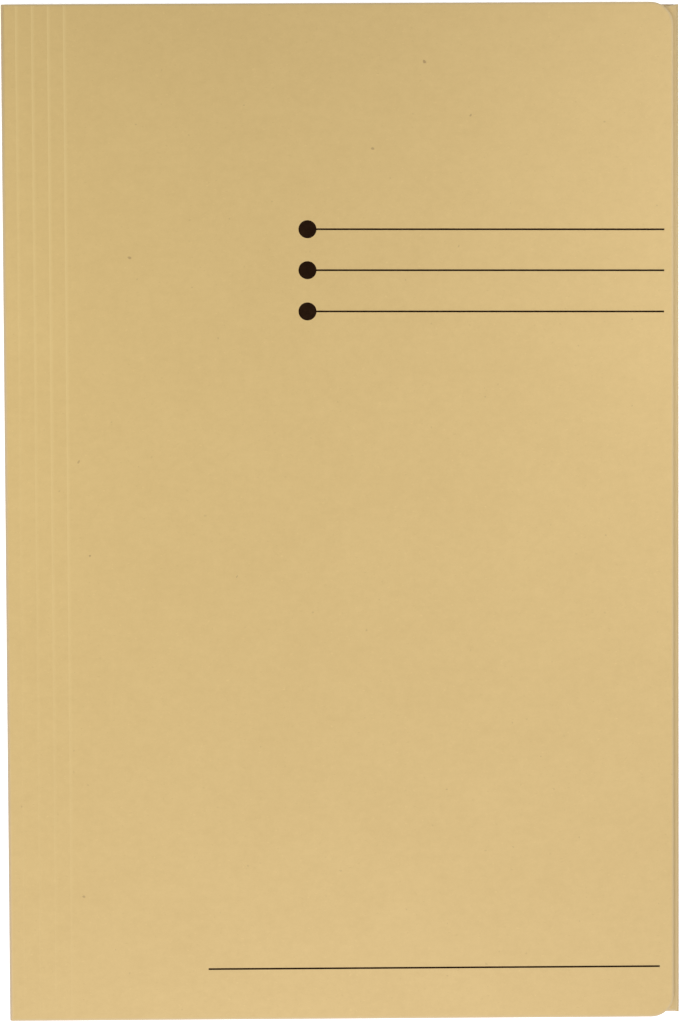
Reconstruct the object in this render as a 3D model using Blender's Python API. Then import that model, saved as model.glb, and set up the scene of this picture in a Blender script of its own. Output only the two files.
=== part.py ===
"""Three-flap folder of manila board, closed and empty, lying on its back.

One creased blank: a front cover on a scored spine, and a side, a head and a tail flap, all folded in over the
back panel. Each fold is cut at its crest, where it hinges. Metres, +Z up, +Y towards the head, the spine at -X.
"""

import math

import bmesh
import bpy
from mathutils import Vector

# Board
BOARD = 0.0004
LAYER_GAP = 0.0003

# Closed folder
WIDTH = 0.230
COVER_HEIGHT = 0.347
COVER_SETBACK = 0.0019
COVER_CORNER_RADIUS = 0.0077
HEAD_OVERHANG = 0.00065
TAIL_OVERHANG = 0.0015

# Scores of the spine, counted from its folded edge
FIRST_SCORE = 0.0052
SCORE_PITCH = 0.0054
SCORE_COUNT = 4

# Side flap, folded in from the fore-edge
SIDE_DEPTH = 0.092
SIDE_SLANT = math.radians(10)
SIDE_RADIUS = 0.018

# Head and tail flaps, whose folds stop just short of the back panel's corners
END_DEPTH = 0.070
END_INSET = 0.0006
END_SLANT = math.radians(45)
END_RADIUS = 0.018

# Slits: at a crease, whose edges thin towards it so that it can fold square, and where a bend meets its panel
CREASE_GAP = 0.0002
CREASE_EDGE = 0.6 * CREASE_GAP
CREASE_BEVEL = (BOARD - CREASE_EDGE) / 2
SEAM_GAP = 0.00005

# Places that follow from the sizes above
LAYER_PITCH = BOARD + LAYER_GAP
HALF_WIDTH = WIDTH / 2
HALF_HEIGHT = COVER_HEIGHT / 2
BACK_HEAD = HALF_HEIGHT - HEAD_OVERHANG
BACK_TAIL = -HALF_HEIGHT + TAIL_OVERHANG
BACK_LAYER, END_LAYER, SIDE_LAYER, COVER_LAYER = range(4)

CORNER_STEPS = 14
BEND_STEPS = 8
MANILA = (0.665, 0.497, 0.226, 1.0)


def clear_scene():
    for old in list(bpy.data.objects):
        bpy.data.objects.remove(old, do_unlink=True)


def layer_height(layer):
    """Height of the middle of a layer of board."""
    return BOARD / 2 + layer * LAYER_PITCH


def bend_radius(layer):
    """Outer radius of the half-round fold between the back and a layer, and so the height of its crest."""
    return (layer * LAYER_PITCH + BOARD) / 2


def score_line(number):
    """Distance of a score from the folded edge."""
    return FIRST_SCORE + (number - 1) * SCORE_PITCH


def manila(name):
    material = bpy.data.materials.new(name + "_board")
    material.use_nodes = True
    shader = material.node_tree.nodes["Principled BSDF"]
    shader.inputs["Base Color"].default_value = MANILA
    shader.inputs["Roughness"].default_value = 0.8
    return material


def rounded(before, corner, after, radius):
    """Points of the arc that rounds the corner between two straight sides."""
    inward = (before - corner).normalized()
    outward = (after - corner).normalized()
    half_angle = inward.angle(outward) / 2
    centre = corner + (inward + outward).normalized() * (radius / math.sin(half_angle))
    reach = radius / math.tan(half_angle)
    first = (corner + inward * reach - centre).normalized()
    last = (corner + outward * reach - centre).normalized()
    points = []
    for step in range(CORNER_STEPS + 1):
        points.append(centre + first.slerp(last, step / CORNER_STEPS) * radius)
    return points


def stacked(name, rings, origin):
    """A solid whose skin joins a stack of closed rings of points, capped by the first and the last."""
    mesh = bmesh.new()
    rows = []
    for ring in rings:
        rows.append([mesh.verts.new(point - origin) for point in ring])
    mesh.faces.new(rows[0])
    mesh.faces.new(rows[-1])
    for lower, upper in zip(rows, rows[1:]):
        for i in range(len(lower)):
            j = (i + 1) % len(lower)
            mesh.faces.new((lower[i], lower[j], upper[j], upper[i]))
    bmesh.ops.recalc_face_normals(mesh, faces=mesh.faces)
    data = bpy.data.meshes.new(name)
    mesh.to_mesh(data)
    mesh.free()
    data.materials.append(manila(name))
    piece = bpy.data.objects.new(name, data)
    piece.location = origin
    bpy.context.collection.objects.link(piece)


def board(name, outline, place, origin):
    """A flat piece of board. outline(bevel) gives its plan, drawn back by bevel along its creases, and place puts
    a point of the plan, at a height above the middle of the board, into the folder."""
    sections = (
        (-BOARD / 2, CREASE_BEVEL),
        (-CREASE_EDGE / 2, 0.0),
        (CREASE_EDGE / 2, 0.0),
        (BOARD / 2, CREASE_BEVEL),
    )
    rings = []
    for height, bevel in sections:
        rings.append([place(point, height) for point in outline(bevel)])
    stacked(name, rings, origin)


class Wing:
    """A cover or flap folded in over the back. A point of it is told by its distance in from the folded edge, its
    place along that edge and its height."""

    def __init__(self, name, layer, depth, radius, inward, edge, ends, inset, slant):
        self.name = name
        self.layer = layer
        self.depth = depth
        self.radius = radius
        self.inward = Vector(inward)
        self.along = Vector((abs(inward[1]), abs(inward[0]), 0))
        self.edge = edge
        self.ends = ends
        self.inset = inset
        self.slant = slant
        self.bend = bend_radius(layer)

    def point(self, distance, along, height):
        plan = self.inward * (distance - self.edge) + self.along * along
        return plan + Vector((0, 0, height))

    def side(self, distance, end):
        """Place along the fold of one slanted end, where end is 0 for the lower and 1 for the upper."""
        drawn_in = self.inset + distance * math.tan(self.slant)
        return self.ends[0] + drawn_in if end == 0 else self.ends[1] - drawn_in

    def across(self, near, far):
        return [
            Vector((near, self.side(near, 0))),
            Vector((far, self.side(far, 0))),
            Vector((far, self.side(far, 1))),
            Vector((near, self.side(near, 1))),
        ]

    def flat(self, plan, height):
        return self.point(plan.x, plan.y, layer_height(self.layer) + height)

    def middle(self):
        return (self.side(0, 0) + self.side(0, 1)) / 2

    def hinge(self):
        """A point on the fold's hinge line, just outside its crest."""
        return self.point(-CREASE_GAP / 2, self.middle(), self.bend)

    def score(self, number):
        """A point on a score's hinge line, in the middle of the board."""
        return self.point(score_line(number), self.middle(), layer_height(self.layer))

    def half_bend(self, name, upward):
        """Half of the fold, from its crest to the back panel, or upward to this wing's own layer."""
        start = CREASE_GAP / 2
        outer, inner = [], []
        for step in range(BEND_STEPS + 1):
            for radius, arc in ((self.bend, outer), (self.bend - BOARD, inner)):
                first = math.asin(start / radius)
                angle = first + (math.pi / 2 - first) * step / BEND_STEPS
                rise = radius * math.sin(angle)
                across = self.bend - radius * math.cos(angle)
                arc.append((across, self.bend + rise if upward else self.bend - rise))
        section = outer + inner[::-1]
        rings = []
        for end in (0, 1):
            rings.append([self.point(across, self.side(across, end), height) for across, height in section])
        stacked(name, rings, self.hinge())

    def bends(self):
        self.half_bend(self.name + "_bend_lower", False)
        self.half_bend(self.name + "_bend_upper", True)

    def strip(self, number):
        near = self.bend + SEAM_GAP if number == 1 else score_line(number - 1) + CREASE_GAP / 2
        far = score_line(number) - CREASE_GAP / 2
        near_bevel = 0 if number == 1 else 1
        origin = self.hinge() if number == 1 else self.score(number - 1)

        def outline(bevel):
            return self.across(near + bevel * near_bevel, far - bevel)

        board(f"{self.name}_strip_{number}", outline, self.flat, origin)

    def panel(self, name, near, near_bevel, origin):
        """The rest of the wing, out to its free edge with rounded corners."""

        def outline(bevel):
            start, low, high, finish = self.across(near + bevel * near_bevel, self.depth)
            corners = rounded(start, low, high, self.radius) + rounded(low, high, finish, self.radius)
            return [start] + corners + [finish]

        board(name, outline, self.flat, origin)

    def build_flap(self):
        self.bends()
        self.panel(self.name + "_flap", self.bend + SEAM_GAP, 0, self.hinge())

    def build_cover(self):
        self.bends()
        for number in range(1, SCORE_COUNT + 1):
            self.strip(number)
        self.panel("front_cover", score_line(SCORE_COUNT) + CREASE_GAP / 2, 1, self.score(SCORE_COUNT))


def back_panel():
    left = -HALF_WIDTH + bend_radius(COVER_LAYER) + SEAM_GAP
    right = HALF_WIDTH - bend_radius(SIDE_LAYER) - SEAM_GAP
    tail = BACK_TAIL + bend_radius(END_LAYER) + SEAM_GAP
    head = BACK_HEAD - bend_radius(END_LAYER) - SEAM_GAP

    def outline(bevel):
        return [Vector((left, tail)), Vector((right, tail)), Vector((right, head)), Vector((left, head))]

    def place(plan, height):
        return Vector((plan.x, plan.y, layer_height(BACK_LAYER) + height))

    board("back_panel", outline, place, Vector((0, 0, 0)))


def cover_wing():
    heights = (-HALF_HEIGHT, HALF_HEIGHT)
    return Wing("spine", COVER_LAYER, WIDTH - COVER_SETBACK, COVER_CORNER_RADIUS,
                inward=(1, 0, 0), edge=HALF_WIDTH, ends=heights, inset=0.0, slant=0.0)


def side_wing():
    heights = (BACK_TAIL, BACK_HEAD)
    return Wing("side", SIDE_LAYER, SIDE_DEPTH, SIDE_RADIUS,
                inward=(-1, 0, 0), edge=HALF_WIDTH, ends=heights, inset=0.0, slant=SIDE_SLANT)


def end_wing(name, inward, edge):
    widths = (-HALF_WIDTH + bend_radius(COVER_LAYER), HALF_WIDTH - bend_radius(SIDE_LAYER))
    return Wing(name, END_LAYER, END_DEPTH, END_RADIUS,
                inward=inward, edge=edge, ends=widths, inset=END_INSET, slant=END_SLANT)


clear_scene()
back_panel()
cover_wing().build_cover()
side_wing().build_flap()
end_wing("top", (0, -1, 0), BACK_HEAD).build_flap()
end_wing("bottom", (0, 1, 0), -BACK_TAIL).build_flap()
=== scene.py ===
"""Looks of a closed three-flap folder of manila board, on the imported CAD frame.

Metres, +Z up, +Y towards the head, the spine at -X.
"""

import math

import bmesh
import bpy
from mathutils import Matrix, Vector


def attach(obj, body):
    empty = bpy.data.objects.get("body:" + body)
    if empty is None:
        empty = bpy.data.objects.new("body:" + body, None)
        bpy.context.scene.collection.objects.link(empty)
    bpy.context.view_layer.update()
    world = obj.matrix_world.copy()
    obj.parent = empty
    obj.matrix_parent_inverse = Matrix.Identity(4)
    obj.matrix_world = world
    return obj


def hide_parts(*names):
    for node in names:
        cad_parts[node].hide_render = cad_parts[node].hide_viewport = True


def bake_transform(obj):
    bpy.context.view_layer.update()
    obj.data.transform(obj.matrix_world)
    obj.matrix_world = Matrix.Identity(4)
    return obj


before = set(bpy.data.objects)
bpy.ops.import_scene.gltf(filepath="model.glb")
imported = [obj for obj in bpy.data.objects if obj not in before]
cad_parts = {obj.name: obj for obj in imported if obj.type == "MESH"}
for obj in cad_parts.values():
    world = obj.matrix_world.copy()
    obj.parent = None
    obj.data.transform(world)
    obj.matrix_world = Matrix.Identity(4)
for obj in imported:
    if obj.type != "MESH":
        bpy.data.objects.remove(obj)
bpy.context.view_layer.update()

# Board and folder, as in the CAD
BOARD = 0.0004
LAYER_PITCH = 0.0007
END_LAYER, SIDE_LAYER, COVER_LAYER = 1, 2, 3
HALF_WIDTH = 0.115
HALF_HEIGHT = 0.1735
HEAD_OVERHANG = 0.00065
TAIL_OVERHANG = 0.0015
BACK_HEAD = HALF_HEIGHT - HEAD_OVERHANG
BACK_TAIL = TAIL_OVERHANG - HALF_HEIGHT
COVER_SETBACK = 0.0019
COVER_DEPTH = 2 * HALF_WIDTH - COVER_SETBACK
COVER_CORNER = 0.0077
FIRST_SCORE = 0.0052
SCORE_PITCH = 0.0054
SCORE_COUNT = 4
SIDE_DEPTH = 0.092
SIDE_SLANT = math.radians(10)
END_DEPTH = 0.070
END_INSET = 0.0006
END_SLANT = math.radians(45)
FLAP_CORNER = 0.018
CORNER_STEPS = 16

# Die-cut edges, with a band along them that is partly worn board and partly painted shade, and the notches
# between the folds of the back
CUT_BEVEL = 0.00007
CUT_STEPS = 2
CUT_WEAR_AND_SHADE = 0.8
WEAR_AND_SHADE_WIDTH = 0.0009
NOTCH_STEPS = 6
NOTCH_HOLLOW = 0.2

# Folds. Their crests are rubbed, but the side fold, which lies in the cover's shadow, is darkened by painted
# shade as far in as its reach.
FOLD_STEPS = 96
FOLD_WEAR_AND_SHADE = 0.9
PAINTED_SHADE_REACH = 0.003

# Scores: half the strip that holds one, its groove, and its paler tone, partly the pressed board's own and
# mostly a painted highlight on the side towards the fold, which fades towards the tail
SCORE_HALF = 0.0011
SCORE_COLUMNS = 22
SCORE_ROWS = 8
SCORE_DEPTH = 0.00002
SCORE_WALL = 0.0002
SCORE_RETURN = 0.00105
SCORE_HIGHLIGHT_HEAD = 0.95
SCORE_HIGHLIGHT_TAIL = 0.08
SCORE_FADE = 3.0

# Printing on the cover, from the middle of the folder
DOT_RADIUS = 0.00307
DOT_SIDES = 32
DOT_X = -0.01145
RULE_END = 0.1100
RULE_HEIGHTS = (0.0971, 0.0832, 0.0692)
RULE_SKEW = 0.005
TAIL_RULE_LEFT = -0.0467
TAIL_RULE_RIGHT = 0.1083
TAIL_RULE_HEIGHT = -0.1560
TAIL_RULE_THICKNESS = 0.0006
INK_PROUD = 0.00001
INK_SUNK = 0.00006

# Modelling: board made past a seam and cut off there, closeness of points, and the share of a face's normal
# along an axis from which the face looks that way or lies flat
SEAM_SPARE = 0.003
TOUCH = 1e-6
DOUBLES = 1e-7
FACING = 0.5
FLAT = 0.95
SMOOTH_ANGLE = math.radians(25)

# Colours of the board, its wear, its painted highlight and painted shade, and the ink
MANILA_DEEP = (0.577, 0.406, 0.154)
MANILA_PALE = (0.655, 0.474, 0.190)
# Pressed lines: a little paler board, mostly a painted highlight
MANILA_PRESSED_HIGHLIGHT = (0.678, 0.504, 0.212)
# Cut edges: partly worn board, partly painted shade
MANILA_CUT = (0.536, 0.418, 0.224)
MANILA_RUBBED = (0.567, 0.453, 0.327)
# Painted shade on the side fold, which lies in the cover's shadow
MANILA_PAINTED_SHADE = (0.493, 0.370, 0.167)
SPECK = (0.285, 0.178, 0.068)
INK_FULL = (0.012, 0.005, 0.002)
INK_THIN = (0.026, 0.012, 0.005)

# Clouding and fibre of the board: scale, detail and share of each layer, drawn out a little across the folder
FIBRE_LAYERS = ((28.0, 2.0, 0.15), (180.0, 2.0, 0.21), (420.0, 4.0, 0.34), (2600.0, 3.0, 0.30))
FIBRE_ROUGHNESS = 0.6
FIBRE_DRAWN = (0.8, 1.0, 1.0)

# Fibre flecks: cells to a metre, and the reach of a fleck's edge and core in its cell
FLECKS = (900.0, 0.18, 0.04)
FLECK_DRAWN = (0.4, 1.0, 1.0)
FLECK_STRENGTH = 1.3

# Specks, small ones and a few large ones: as for flecks, and then the chance at which one begins to show and
# would be full
SPECKS = ((220.0, 0.095, 0.035, 0.55, 1.6), (60.0, 0.038, 0.018, 0.3, 1.05))

# How far flecks and specks are bent out of round
SPOT_BEND = 0.0016
SPOT_BEND_SCALE = 500.0

# Finish: the range of tone between the two colours of each material, roughness, gloss and tooth
BOARD_TONES = (0.18, 0.82)
BOARD_ROUGHNESS = (0.5, 0.62)
BOARD_SPECULAR = 0.5
TOOTH_STRENGTH = 0.35
TOOTH_DEPTH = 0.00004
INK_TONES = (0.38, 0.7)
INK_ROUGHNESS = (0.5, 0.75)
INK_SPECULAR = 0.02

# Floor and light: name, place, size, power and tint of each lamp
FLOOR_SIZE = 12
FLOOR_DROP = 0.0001
FLOOR_COLOUR = (0.90, 0.90, 0.90)
FLOOR_ROUGHNESS = 0.9
FLOOR_SPECULAR = 0.1
FLOOR_GLOW = 0.6
WORLD_LIGHT = 0.35
SOFTBOXES = (
    ("tail_softbox", (-0.001, -0.545, 0.3), 0.4, 2.55, (1.0, 1.0, 1.2)),
    ("fore_edge_softbox", (0.262, 0.121, 0.25), 0.2, 0.561, (1.0, 1.0, 1.08)),
    ("spine_softbox", (-0.316, 0.079, 0.25), 0.2, 0.50, (1.0, 0.98, 0.82)),
)

# Camera, fitted to the outline in the photograph. Its turn is an axis times an angle.
CAMERA_PLACE = (-0.011787, 0.056826, 1.2)
CAMERA_TURN = (0.047142, 0.009284, 0.005267)
CAMERA_FOCAL_PIXELS = 3513.23
CAMERA_NEAREST = 0.01
FRAME_LONG_SIDE = 1027
SENSOR = 36.0


def layer_middle(layer):
    return BOARD / 2 + layer * LAYER_PITCH


def fold_radius(layer):
    return (layer * LAYER_PITCH + BOARD) / 2


# The back's edges at the spine and the side, and half the length of the flaps' folds
BACK_LEFT = -HALF_WIDTH + fold_radius(COVER_LAYER)
BACK_RIGHT = HALF_WIDTH - fold_radius(SIDE_LAYER)
SIDE_HALF = (BACK_HEAD - BACK_TAIL) / 2
END_HALF = (BACK_RIGHT - BACK_LEFT) / 2 - END_INSET

# Wings: the turn and the place that bring a fold to the folder's edge
SPINE = (0.0, (-HALF_WIDTH, 0.0))
SIDE = (math.pi, (HALF_WIDTH, (BACK_HEAD + BACK_TAIL) / 2))
TOP = (-math.pi / 2, ((BACK_LEFT + BACK_RIGHT) / 2, BACK_HEAD))
BOTTOM = (math.pi / 2, ((BACK_LEFT + BACK_RIGHT) / 2, BACK_TAIL))


# Modelling steps


def begin_plane(name, columns=1, rows=1):
    """A flat unit square of faces in edit mode, all selected."""
    bpy.ops.object.select_all(action="DESELECT")
    bpy.ops.mesh.primitive_grid_add(x_subdivisions=columns, y_subdivisions=rows, size=1, location=(0, 0, 0))
    return begin_edit(name)


def begin_edit(name):
    """Names the new primitive, and selects all of it in edit mode."""
    piece = bpy.context.object
    piece.name = name
    piece.data.name = name
    bpy.ops.object.mode_set(mode="EDIT")
    bpy.ops.mesh.select_all(action="SELECT")
    return piece


def pick(piece, kind, test):
    """Selects the vertices, edges or faces that pass the test, and nothing else."""
    bpy.ops.mesh.select_mode(type=kind)
    bpy.ops.mesh.select_all(action="DESELECT")
    mesh = bmesh.from_edit_mesh(piece.data)
    for element in {"VERT": mesh.verts, "EDGE": mesh.edges, "FACE": mesh.faces}[kind]:
        if test(element):
            element.select_set(True)
    mesh.select_flush_mode()
    bmesh.update_edit_mesh(piece.data)


def divide(place, normal, drop=False, fill=False):
    """Cuts the whole mesh along a plane. What lies beyond it can be dropped, and the cut filled."""
    bpy.ops.mesh.select_all(action="SELECT")
    bpy.ops.mesh.bisect(plane_co=place, plane_no=normal, clear_outer=drop, use_fill=fill)


def thicken(thickness):
    """Extrudes the flat faces upwards into a closed sheet."""
    bpy.ops.mesh.select_all(action="SELECT")
    bpy.ops.mesh.extrude_region_move(TRANSFORM_OT_translate={"value": (0, 0, thickness)})
    bpy.ops.mesh.select_all(action="SELECT")
    bpy.ops.mesh.normals_make_consistent(inside=False)


def round_edges():
    """Takes the sharpness off the selected edges."""
    bpy.ops.mesh.bevel(offset=CUT_BEVEL, segments=CUT_STEPS, affect="EDGES", clamp_overlap=True)


def soften_cuts(piece, on_seam):
    """Rounds the die-cut edges, leaving those on a seam, where the board runs on into the next piece."""
    def is_cut(edge):
        first, last = edge.verts
        level = abs(first.co.z - last.co.z) < TOUCH
        outline = any(abs(face.normal.z) < FACING for face in edge.link_faces)
        return level and outline and not on_seam((first.co + last.co) / 2)

    pick(piece, "EDGE", is_cut)
    round_edges()


def cut_points(piece, on_seam):
    """The points of the rounded die-cut edges of a mesh in object mode."""
    points = set()
    for face in piece.data.polygons:
        if abs(face.normal.z) < FLAT and not on_seam(face.center):
            points.update(face.vertices)
    return points


def attribute(piece, name, value):
    """Stores value(vertex) on the points of a mesh in object mode."""
    layer = piece.data.attributes.new(name, "FLOAT", "POINT")
    for vertex in piece.data.vertices:
        layer.data[vertex.index].value = value(vertex)


def leave_edit(piece, turn=0.0, place=(0.0, 0.0)):
    """Back to object mode, and into place with nothing left on the object's own transform."""
    bpy.ops.mesh.select_all(action="SELECT")
    bpy.ops.mesh.normals_make_consistent(inside=False)
    bpy.ops.object.mode_set(mode="OBJECT")
    bpy.ops.object.select_all(action="DESELECT")
    piece.select_set(True)
    bpy.context.view_layer.objects.active = piece
    bpy.ops.object.shade_smooth_by_angle(angle=SMOOTH_ANGLE)
    piece.rotation_euler = (0, 0, turn)
    piece.location = (*place, 0)
    bpy.ops.object.transform_apply(location=True, rotation=True, scale=True)
    return piece


# Pieces of board


def fold_wear_and_shade(inwards, reach):
    """How strongly a crest is rubbed, and the side fold darkened by painted shade, from the folded edge
    inwards.
    """
    return FOLD_WEAR_AND_SHADE * max(0.0, 1 - inwards / reach)


def board_sheet(name, near, far, half_near, half_far, layer, wing, corner=0.0, seams=(), shade_reach=0.0):
    """A flat sheet of board from near to far, measured in from its fold, with the two far corners rounded.

    A sheet given a shade reach is darkened by painted shade as far in as that reach."""
    def on_seam(place):
        return any(abs(place.x - seam) < TOUCH for seam in seams)

    bottom = layer_middle(layer) - BOARD / 2
    taper = (half_near - half_far) / (far - near)
    start = near - SEAM_SPARE if near in seams else near
    stop = far + SEAM_SPARE if far in seams else far
    half_start = half_near + (near - start) * taper
    half_stop = half_far - (stop - far) * taper
    middle = (start + stop) / 2
    piece = begin_plane(name)
    bpy.ops.transform.resize(value=(stop - start, 2 * half_start, 1))
    bpy.ops.transform.translate(value=(middle, 0, bottom))
    pick(piece, "VERT", lambda v: v.co.x > middle)
    bpy.ops.transform.resize(value=(1, half_stop / half_start, 1), center_override=(stop, 0, bottom))
    if corner:
        reach = corner / math.tan((math.pi / 2 + math.atan(taper)) / 2)
        pick(piece, "VERT", lambda v: v.co.x > middle)
        bpy.ops.mesh.bevel(offset=reach, segments=CORNER_STEPS, affect="VERTICES", offset_type="OFFSET",
                           clamp_overlap=False)
    bpy.ops.mesh.select_mode(type="FACE")
    bpy.ops.mesh.select_all(action="SELECT")
    bpy.ops.mesh.inset(thickness=WEAR_AND_SHADE_WIDTH, depth=0.0, use_even_offset=True)
    for seam in seams:
        divide((seam, 0, 0), (math.copysign(1, seam - middle), 0, 0), drop=True)
    if shade_reach:
        divide((shade_reach, 0, 0), (1, 0, 0))
    thicken(BOARD)
    soften_cuts(piece, on_seam)
    bpy.ops.object.mode_set(mode="OBJECT")
    # Cut edges: partly worn board, partly painted shade
    cut = cut_points(piece, on_seam)
    attribute(piece, "cut_edge", lambda v: CUT_WEAR_AND_SHADE if v.index in cut else 0.0)
    # Painted shade on the side flap near its fold, darkest at the fold
    if shade_reach:
        attribute(piece, "painted_shade", lambda v: fold_wear_and_shade(v.co.x, shade_reach) if v.co.z > bottom + BOARD / 2 else 0.0)
    bpy.ops.object.mode_set(mode="EDIT")
    return leave_edit(piece, *wing)


def back_panel_sheet(name, low, high):
    """The back, which runs on into a fold on each side, with a small hollow notch between the folds."""
    piece = begin_plane(name)
    bpy.ops.transform.resize(value=(high[0] - low[0], high[1] - low[1], 1))
    bpy.ops.transform.translate(value=((low[0] + high[0]) / 2, (low[1] + high[1]) / 2, 0))
    pick(piece, "VERT", lambda v: True)
    bpy.ops.mesh.bevel(offset=END_INSET, segments=NOTCH_STEPS, affect="VERTICES", profile=NOTCH_HOLLOW)
    thicken(BOARD)
    return leave_edit(piece)


def fold_piece(name, half, slant, layer, wing, shade_reach):
    """The half-round fold of the board from the back up to a layer.

    It is the board's section, spun about the fold's middle and cut off along the slanted ends of its flap.
    Its crest is rubbed, or, given a shade reach, it is darkened by painted shade as far in as that reach."""
    radius = fold_radius(layer)
    piece = begin_plane(name)
    bpy.ops.transform.resize(value=(BOARD, 2 * (half + SEAM_SPARE), 1))
    bpy.ops.transform.rotate(value=math.pi / 2, orient_axis="Y", center_override=(0, 0, 0))
    bpy.ops.transform.translate(value=(radius, 0, BOARD / 2))
    bpy.ops.mesh.spin(steps=FOLD_STEPS, angle=math.pi, center=(radius, 0, radius), axis=(0, -1, 0))
    bpy.ops.mesh.select_all(action="SELECT")
    bpy.ops.mesh.remove_doubles(threshold=DOUBLES)
    bpy.ops.mesh.normals_make_consistent(inside=False)
    for end in (-1, 1):
        divide((0, end * half, 0), (math.sin(slant), end * math.cos(slant), 0), drop=True, fill=True)

    def outside(place):
        return math.hypot(place.x - radius, place.z - radius) > radius - BOARD / 2

    def is_outer_end(edge):
        rim = sum(abs(face.normal.y) > FACING for face in edge.link_faces) == 1
        along_seam = all(abs(vertex.co.x - radius) < TOUCH for vertex in edge.verts)
        return rim and not along_seam and all(outside(vertex.co) for vertex in edge.verts)

    pick(piece, "EDGE", is_outer_end)
    round_edges()
    bpy.ops.object.mode_set(mode="OBJECT")
    # The crest is rubbed; on the side fold the mark is painted shade instead
    mark, reach = ("painted_shade", shade_reach) if shade_reach else ("crest", radius)
    attribute(piece, mark, lambda v: fold_wear_and_shade(v.co.x, reach) if outside(v.co) else 0.0)
    bpy.ops.object.mode_set(mode="EDIT")
    return leave_edit(piece, *wing)


def score_dip(across):
    """Depth of the pressed line: steep on the side towards the fold, and easing out on the other."""
    if across < -SCORE_WALL:
        return 0.0
    if across < 0:
        return SCORE_DEPTH * (1 + across / SCORE_WALL)
    return SCORE_DEPTH * max(0.0, 1 - across / SCORE_RETURN) ** 2


def score_tone_and_highlight(across, up, number):
    """How pale the pressed line is, partly its own paler board and mostly a painted highlight, across it and
    from tail to head. The first score fades soonest.
    """
    if across < -SCORE_WALL - TOUCH:
        return 0.0
    share = max(0.0, 1 - (across + SCORE_WALL) / (SCORE_RETURN + SCORE_WALL))
    rise = max(0.0, up) ** (SCORE_FADE / number)
    return share * (SCORE_HIGHLIGHT_TAIL + (SCORE_HIGHLIGHT_HEAD - SCORE_HIGHLIGHT_TAIL) * rise)


def score_piece(name, number, score, wing):
    """A narrow strip of the cover with one pressed score along its middle."""
    near = score - SCORE_HALF
    far = score + SCORE_HALF

    def on_seam(place):
        return abs(place.x - near) < TOUCH or abs(place.x - far) < TOUCH

    bottom = layer_middle(COVER_LAYER) - BOARD / 2
    piece = begin_plane(name, SCORE_COLUMNS, SCORE_ROWS)
    bpy.ops.transform.resize(value=(far - near, 2 * HALF_HEIGHT, 1))
    bpy.ops.transform.translate(value=(score, 0, bottom))
    for end in (-1, 1):
        divide((0, end * (HALF_HEIGHT - WEAR_AND_SHADE_WIDTH), 0), (0, 1, 0))
    thicken(BOARD)
    soften_cuts(piece, on_seam)
    step = (far - near) / SCORE_COLUMNS
    for column in range(1, SCORE_COLUMNS):
        place = near + column * step
        dip = score_dip(place - score)
        if dip > 0:
            pick(piece, "VERT", lambda v: abs(v.co.x - place) < step / 4)
            bpy.ops.transform.translate(value=(0, 0, -dip))
    bpy.ops.object.mode_set(mode="OBJECT")
    # Cut edges: partly worn board, partly painted shade
    cut = cut_points(piece, on_seam)
    attribute(piece, "cut_edge", lambda v: CUT_WEAR_AND_SHADE if v.index in cut else 0.0)
    # The pressed line's paleness: mostly a painted highlight, strongest at the head
    attribute(piece, "pressed_highlight",
              lambda v: score_tone_and_highlight(v.co.x - score, 0.5 + v.co.y / (2 * HALF_HEIGHT), number))
    bpy.ops.object.mode_set(mode="EDIT")
    return leave_edit(piece, *wing)


# Printing


def index_rule(name, height, top):
    """A printed dot with the rule that runs on from its side."""
    bpy.ops.object.select_all(action="DESELECT")
    bpy.ops.mesh.primitive_circle_add(vertices=DOT_SIDES, radius=DOT_RADIUS, fill_type="NGON",
                                      location=(0, 0, 0))
    piece = begin_edit(name)
    bpy.ops.transform.rotate(value=math.pi / DOT_SIDES, orient_axis="Z", center_override=(0, 0, 0))
    bpy.ops.transform.translate(value=(DOT_X, height, top - INK_SUNK))
    right = DOT_X + DOT_RADIUS * math.cos(math.pi / DOT_SIDES)
    pick(piece, "EDGE", lambda e: all(abs(v.co.x - right) < TOUCH for v in e.verts))
    bpy.ops.mesh.extrude_region_move(TRANSFORM_OT_translate={"value": (RULE_END - right, 0, 0)})
    thicken(INK_SUNK + INK_PROUD)
    bpy.ops.transform.rotate(value=RULE_SKEW, orient_axis="Z", center_override=(DOT_X, RULE_HEIGHTS[1], top))
    return leave_edit(piece)


def tail_rule(name, top):
    """The long printed rule near the tail."""
    piece = begin_plane(name)
    middle = (TAIL_RULE_LEFT + TAIL_RULE_RIGHT) / 2
    bpy.ops.transform.resize(value=(TAIL_RULE_RIGHT - TAIL_RULE_LEFT, TAIL_RULE_THICKNESS, 1))
    bpy.ops.transform.translate(value=(middle, TAIL_RULE_HEIGHT, top - INK_SUNK))
    thicken(INK_SUNK + INK_PROUD)
    return leave_edit(piece)


# Materials


def node(tree, kind, place, **values):
    """A node with its settings, or the defaults of its inputs, given by name."""
    made = tree.nodes.new(kind)
    made.location = place
    for name, value in values.items():
        if hasattr(made, name):
            setattr(made, name, value)
        else:
            made.inputs[name].default_value = value
    return made


def ramp(tree, place, low, high):
    """A Map Range from low to high onto 0 to 1, eased at both ends."""
    made = node(tree, "ShaderNodeMapRange", place, interpolation_type="SMOOTHSTEP")
    made.inputs["From Min"].default_value = low
    made.inputs["From Max"].default_value = high
    return made


def onto(tree, place, low, high):
    """A Map Range from 0 to 1 onto low to high."""
    made = node(tree, "ShaderNodeMapRange", place)
    made.inputs["To Min"].default_value = low
    made.inputs["To Max"].default_value = high
    return made


def drawn_out(tree, place, vector, scale):
    """Coordinates that stretch a pattern along X."""
    made = node(tree, "ShaderNodeMapping", place, vector_type="POINT", Scale=scale)
    tree.links.new(vector, made.inputs["Vector"])
    return made.outputs["Vector"]


def product(tree, place, first, second):
    made = node(tree, "ShaderNodeMath", place, operation="MULTIPLY")
    tree.links.new(first, made.inputs[0])
    tree.links.new(second, made.inputs[1])
    return made.outputs[0]


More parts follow.
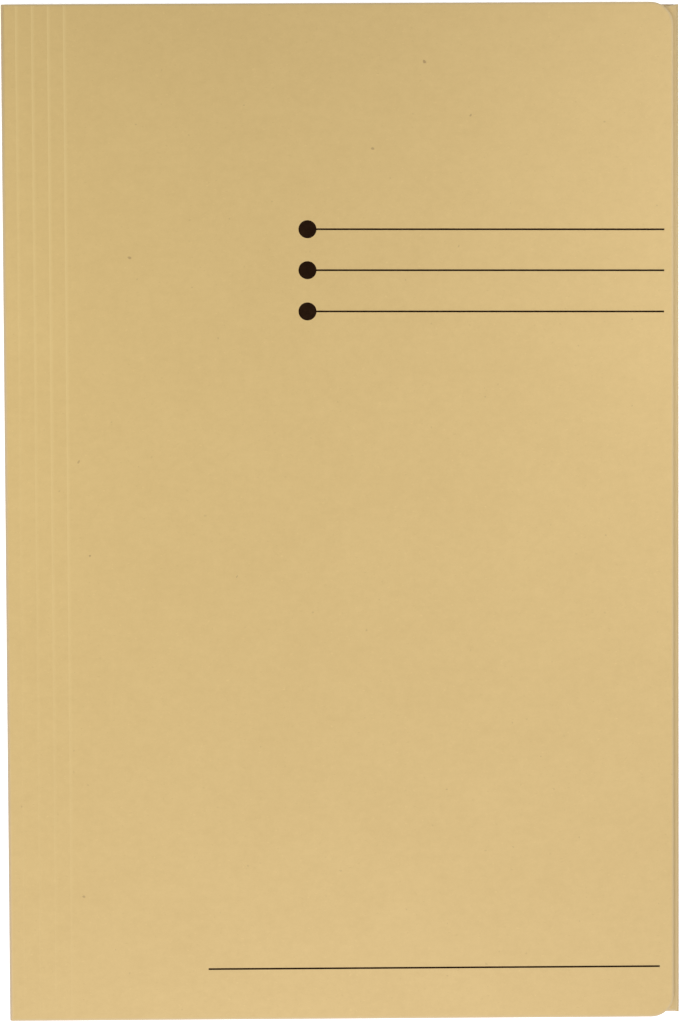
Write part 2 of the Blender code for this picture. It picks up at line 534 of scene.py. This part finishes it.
def spots(tree, place, vector, scale, edge, core):
    """A mask of scattered spots, and a number by chance for each."""
    x, y = place
    cells = node(tree, "ShaderNodeTexVoronoi", (x, y), Scale=scale, Randomness=1.0)
    tree.links.new(vector, cells.inputs["Vector"])
    near = ramp(tree, (x + 200, y), edge, core)
    tree.links.new(cells.outputs["Distance"], near.inputs["Value"])
    apart = node(tree, "ShaderNodeSeparateColor", (x + 200, y - 250))
    tree.links.new(cells.outputs["Color"], apart.inputs["Color"])
    return near.outputs["Result"], apart.outputs["Red"]


def layered_tone(tree, vector):
    """The layers of clouding and fibre added up, about 0.5 on average."""
    total = None
    for step, (scale, detail, share) in enumerate(FIBRE_LAYERS):
        y = 600 - 250 * step
        layer = node(tree, "ShaderNodeTexNoise", (-800, y), Scale=scale, Detail=detail,
                     Roughness=FIBRE_ROUGHNESS)
        part = node(tree, "ShaderNodeMath", (-500, y), operation="MULTIPLY_ADD")
        part.inputs[1].default_value = share
        part.inputs[2].default_value = 0.0
        tree.links.new(vector, layer.inputs["Vector"])
        tree.links.new(layer.outputs["Fac"], part.inputs[0])
        if total is not None:
            tree.links.new(total, part.inputs[2])
        total = part.outputs[0]
    return total


def bent(tree, place, vector):
    """Coordinates that bend a pattern, so that its spots aren't round."""
    x, y = place
    bend = node(tree, "ShaderNodeTexNoise", (x, y), Scale=SPOT_BEND_SCALE, Detail=1.0)
    made = node(tree, "ShaderNodeVectorMath", (x + 200, y), operation="MULTIPLY_ADD")
    made.inputs[1].default_value = (SPOT_BEND, SPOT_BEND, SPOT_BEND)
    tree.links.new(vector, bend.inputs["Vector"])
    tree.links.new(bend.outputs["Color"], made.inputs[0])
    tree.links.new(vector, made.inputs[2])
    return made.outputs["Vector"]


def board_fibres():
    """Clouding, fibre flecks and specks of uncoated board: a tone about 0.5, a speck mask and a height."""
    group = bpy.data.node_groups.new("board_fibres", "ShaderNodeTree")
    group.interface.new_socket(name="Vector", in_out="INPUT", socket_type="NodeSocketVector")
    for name in ("Tone", "Specks", "Height"):
        group.interface.new_socket(name=name, in_out="OUTPUT", socket_type="NodeSocketFloat")
    into = node(group, "NodeGroupInput", (-1200, 0))
    out = node(group, "NodeGroupOutput", (700, 0))
    link = group.links.new
    vector = into.outputs["Vector"]
    tone = layered_tone(group, drawn_out(group, (-1000, -150), vector, FIBRE_DRAWN))
    spot_vector = bent(group, (-1000, -550), vector)

    fleck_vector = drawn_out(group, (-600, -850), spot_vector, FLECK_DRAWN)
    near, chance = spots(group, (-400, -850), fleck_vector, *FLECKS)
    strength = node(group, "ShaderNodeMath", (-50, -850), operation="SUBTRACT")
    strength.inputs[1].default_value = 0.5
    link(chance, strength.inputs[0])
    flecked = node(group, "ShaderNodeMath", (350, 0), operation="MULTIPLY_ADD")
    flecked.inputs[1].default_value = FLECK_STRENGTH
    link(product(group, (150, -850), strength.outputs[0], near), flecked.inputs[0])
    link(tone, flecked.inputs[2])

    specks = node(group, "ShaderNodeMath", (350, -450), operation="MAXIMUM")
    for step, (scale, edge, core, faintest, full) in enumerate(SPECKS):
        y = -450 - 800 * step
        near, chance = spots(group, (-400, y), spot_vector, scale, edge, core)
        kept = ramp(group, (-50, y - 150), faintest, full)
        link(chance, kept.inputs["Value"])
        link(product(group, (150, y), near, kept.outputs["Result"]), specks.inputs[step])

    link(flecked.outputs[0], out.inputs["Tone"])
    link(specks.outputs[0], out.inputs["Specks"])
    link(tone, out.inputs["Height"])
    return group


def start_material(name, specular):
    material = bpy.data.materials.new(name)
    material.use_nodes = True
    shader = material.node_tree.nodes["Principled BSDF"]
    shader.inputs["Specular IOR Level"].default_value = specular
    return material, material.node_tree, shader


def place_fibres(tree, place, fibres):
    """The board's fibres, on the piece's own coordinates."""
    x, y = place
    where = node(tree, "ShaderNodeTexCoord", (x - 200, y))
    group = node(tree, "ShaderNodeGroup", (x, y))
    group.node_tree = fibres
    tree.links.new(where.outputs["Object"], group.inputs["Vector"])
    return group


def blended(tree, place, low, high):
    """A colour mix between two set colours; either may be replaced by a link."""
    made = node(tree, "ShaderNodeMix", place, data_type="RGBA")
    made.inputs[6].default_value = (*low, 1.0)
    made.inputs[7].default_value = (*high, 1.0)
    return made


def toned(tree, place, tone, tones, low, high):
    """A colour that goes from low to high with the tone."""
    x, y = place
    spread = ramp(tree, (x - 200, y), *tones)
    colour = blended(tree, (x, y), low, high)
    tree.links.new(tone, spread.inputs["Value"])
    tree.links.new(spread.outputs["Result"], colour.inputs[0])
    return colour.outputs[2]


def vary_roughness(tree, place, tone, roughness, shader):
    rough = onto(tree, place, *roughness)
    tree.links.new(tone, rough.inputs["Value"])
    tree.links.new(rough.outputs["Result"], shader.inputs["Roughness"])


def manila_board(name, fibres):
    """Uncoated manila board. Its points say how far it is pressed and lit by a painted highlight, worn and
    painted with shade at a cut, rubbed, or darkened by painted shade at the side fold.
    """
    material, tree, shader = start_material(name, BOARD_SPECULAR)
    link = tree.links.new
    group = place_fibres(tree, (-1000, 0), fibres)
    tone = group.outputs["Tone"]
    colour = toned(tree, (-600, 150), tone, BOARD_TONES, MANILA_DEEP, MANILA_PALE)
    # Marks: pressed lines, mostly painted highlight; cut edges, partly painted shade; rubbed crests; painted
    # shade on the side fold
    marks = (("pressed_highlight", MANILA_PRESSED_HIGHLIGHT), ("cut_edge", MANILA_CUT), ("crest", MANILA_RUBBED),
             ("painted_shade", MANILA_PAINTED_SHADE))
    for step, (mark, worn) in enumerate(marks):
        mask = node(tree, "ShaderNodeAttribute", (-800, -250 - 200 * step), attribute_name=mark,
                    attribute_type="GEOMETRY")
        changed = blended(tree, (-400 + 200 * step, 100), MANILA_PALE, worn)
        link(mask.outputs["Fac"], changed.inputs[0])
        link(colour, changed.inputs[6])
        colour = changed.outputs[2]
    specked = blended(tree, (450, 100), MANILA_PALE, SPECK)
    link(group.outputs["Specks"], specked.inputs[0])
    link(colour, specked.inputs[6])
    link(specked.outputs[2], shader.inputs["Base Color"])

    vary_roughness(tree, (-400, -200), tone, BOARD_ROUGHNESS, shader)
    tooth = node(tree, "ShaderNodeBump", (-200, -400), Strength=TOOTH_STRENGTH, Distance=TOOTH_DEPTH)
    link(group.outputs["Height"], tooth.inputs["Height"])
    link(tooth.outputs["Normal"], shader.inputs["Normal"])
    return material


def printing_ink(name, fibres):
    """Dark printing ink, thin enough that the fibres of the board show in it."""
    material, tree, shader = start_material(name, INK_SPECULAR)
    tone = place_fibres(tree, (-700, 0), fibres).outputs["Tone"]
    colour = toned(tree, (-250, 100), tone, INK_TONES, INK_FULL, INK_THIN)
    tree.links.new(colour, shader.inputs["Base Color"])
    vary_roughness(tree, (-250, -150), tone, INK_ROUGHNESS, shader)
    return material


def seen_rays(tree, place):
    """1 for rays by which the camera sees a surface, also mirrored or through glass, and 0 for light."""
    x, y = place
    rays = node(tree, "ShaderNodeLightPath", (x, y))
    seen = rays.outputs["Is Camera Ray"]
    for step, kind in enumerate(("Is Glossy Ray", "Is Transmission Ray"), start=1):
        either = node(tree, "ShaderNodeMath", (x + 200 * step, y), operation="MAXIMUM")
        tree.links.new(seen, either.inputs[0])
        tree.links.new(rays.outputs[kind], either.inputs[1])
        seen = either.outputs[0]
    return seen


def pale_floor(name):
    """White floor that looks white to the camera and still takes the folder's shadow."""
    material, tree, shader = start_material(name, FLOOR_SPECULAR)
    shader.inputs["Base Color"].default_value = (*FLOOR_COLOUR, 1.0)
    shader.inputs["Roughness"].default_value = FLOOR_ROUGHNESS
    link = tree.links.new
    glow = node(tree, "ShaderNodeEmission", (0, -200), Strength=FLOOR_GLOW)
    both = node(tree, "ShaderNodeAddShader", (250, -50))
    choice = node(tree, "ShaderNodeMixShader", (450, 100))
    link(shader.outputs[0], both.inputs[0])
    link(glow.outputs[0], both.inputs[1])
    link(seen_rays(tree, (-300, 400)), choice.inputs[0])
    link(shader.outputs[0], choice.inputs[1])
    link(both.outputs[0], choice.inputs[2])
    link(choice.outputs[0], tree.nodes["Material Output"].inputs["Surface"])
    return material


# The folder, from the back up


def dress(piece, material):
    piece.data.materials.clear()
    piece.data.materials.append(material)


def add_sheet(piece, board, body, node_name):
    """A stiff piece of board, which stands for one CAD node."""
    dress(piece, board)
    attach(piece, body)
    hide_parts(node_name)


def add_bend(piece, board):
    """A piece of board between two bodies, left unattached, with its place baked into its points."""
    dress(piece, board)
    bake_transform(piece)


def add_fold(name, board, half, slant, layer, wing, shade_reach=0.0):
    """The fold between the back and the body that hinges on it."""
    piece = fold_piece(name + "_fold", half, slant, layer, wing, shade_reach)
    add_bend(piece, board)
    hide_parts(name + "_bend_lower", name + "_bend_upper")


def add_flap(name, board, depth, half, slant, layer, wing, shade_reach=0.0):
    body = name + "_flap"
    near = fold_radius(layer)
    half_near = half - near * math.tan(slant)
    half_far = half - depth * math.tan(slant)
    add_fold(name, board, half, slant, layer, wing, shade_reach)
    sheet = board_sheet(name + "_sheet", near, depth, half_near, half_far, layer, wing, FLAP_CORNER,
                        (near,), shade_reach)
    add_sheet(sheet, board, body, body)


def add_back(board):
    low = (BACK_LEFT, BACK_TAIL + fold_radius(END_LAYER))
    high = (BACK_RIGHT, BACK_HEAD - fold_radius(END_LAYER))
    add_sheet(back_panel_sheet("back_sheet", low, high), board, "back", "back_panel")


def add_cover(board):
    """The spine's fold, its strips with a score after each, and the cover."""
    near = fold_radius(COVER_LAYER)
    add_fold("spine", board, HALF_HEIGHT, 0.0, COVER_LAYER, SPINE)
    for number in range(1, SCORE_COUNT + 1):
        score = FIRST_SCORE + (number - 1) * SCORE_PITCH
        far = score - SCORE_HALF
        body = f"spine_strip_{number}"
        strip = board_sheet(f"spine_sheet_{number}", near, far, HALF_HEIGHT, HALF_HEIGHT, COVER_LAYER, SPINE,
                            seams=(near, far))
        add_sheet(strip, board, body, body)
        near = score + SCORE_HALF
        crease = score_piece(f"score_line_{number}", number, score, SPINE)
        add_bend(crease, board)
    sheet = board_sheet("cover_sheet", near, COVER_DEPTH, HALF_HEIGHT, HALF_HEIGHT, COVER_LAYER, SPINE,
                        COVER_CORNER, (near,))
    add_sheet(sheet, board, "front_cover", "front_cover")


def add_printing(ink):
    top = layer_middle(COVER_LAYER) + BOARD / 2
    printed = []
    for number, height in enumerate(RULE_HEIGHTS, start=1):
        printed.append(index_rule(f"index_rule_{number}", height, top))
    printed.append(tail_rule("tail_rule", top))
    for piece in printed:
        dress(piece, ink)
        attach(piece, "front_cover")


# Floor, light and camera


def add_floor():
    bpy.ops.object.select_all(action="DESELECT")
    bpy.ops.mesh.primitive_plane_add(size=FLOOR_SIZE, location=(0, 0, -FLOOR_DROP))
    floor = bpy.context.object
    floor.name = "floor"
    floor.data.materials.append(pale_floor("pale_floor"))


def add_world():
    """Even light from all round, which looks white itself."""
    world = bpy.data.worlds.new("studio")
    world.use_nodes = True
    tree = world.node_tree
    strength = onto(tree, (-200, 0), WORLD_LIGHT, 1.0)
    tree.links.new(seen_rays(tree, (-800, 0)), strength.inputs["Value"])
    background = tree.nodes["Background"]
    background.inputs["Color"].default_value = (1.0, 1.0, 1.0, 1.0)
    tree.links.new(strength.outputs["Result"], background.inputs["Strength"])
    bpy.context.scene.world = world


def add_softbox(name, place, size, power, tint):
    """A square lamp that faces the middle of the folder."""
    lamp = bpy.data.lights.new(name, "AREA")
    lamp.shape = "SQUARE"
    lamp.size = size
    lamp.energy = power
    lamp.color = tint
    holder = bpy.data.objects.new(name, lamp)
    holder.location = place
    holder.rotation_euler = (-Vector(place)).to_track_quat("-Z", "Y").to_euler()
    holder.visible_camera = False
    bpy.context.collection.objects.link(holder)


def add_camera():
    turn = Vector(CAMERA_TURN)
    to_camera = Matrix.Rotation(turn.length, 3, turn.normalized())
    camera = bpy.data.cameras.new("camera")
    camera.sensor_width = SENSOR
    camera.lens = CAMERA_FOCAL_PIXELS / FRAME_LONG_SIDE * SENSOR
    camera.clip_start = CAMERA_NEAREST
    holder = bpy.data.objects.new("camera", camera)
    holder.matrix_world = Matrix.Translation(CAMERA_PLACE) @ to_camera.transposed().to_4x4()
    bpy.context.collection.objects.link(holder)
    bpy.context.scene.camera = holder


fibres = board_fibres()
board = manila_board("manila_board", fibres)
ink = printing_ink("printing_ink", fibres)

add_back(board)
add_flap("top", board, END_DEPTH, END_HALF, END_SLANT, END_LAYER, TOP)
add_flap("bottom", board, END_DEPTH, END_HALF, END_SLANT, END_LAYER, BOTTOM)
# The side fold carries painted shade, for the cover's shadow on it
add_flap("side", board, SIDE_DEPTH, SIDE_HALF, SIDE_SLANT, SIDE_LAYER, SIDE, PAINTED_SHADE_REACH)
add_cover(board)
add_printing(ink)

add_floor()
add_world()
for softbox in SOFTBOXES:
    add_softbox(*softbox)
add_camera()
bpy.context.scene.view_settings.view_transform = "Standard"
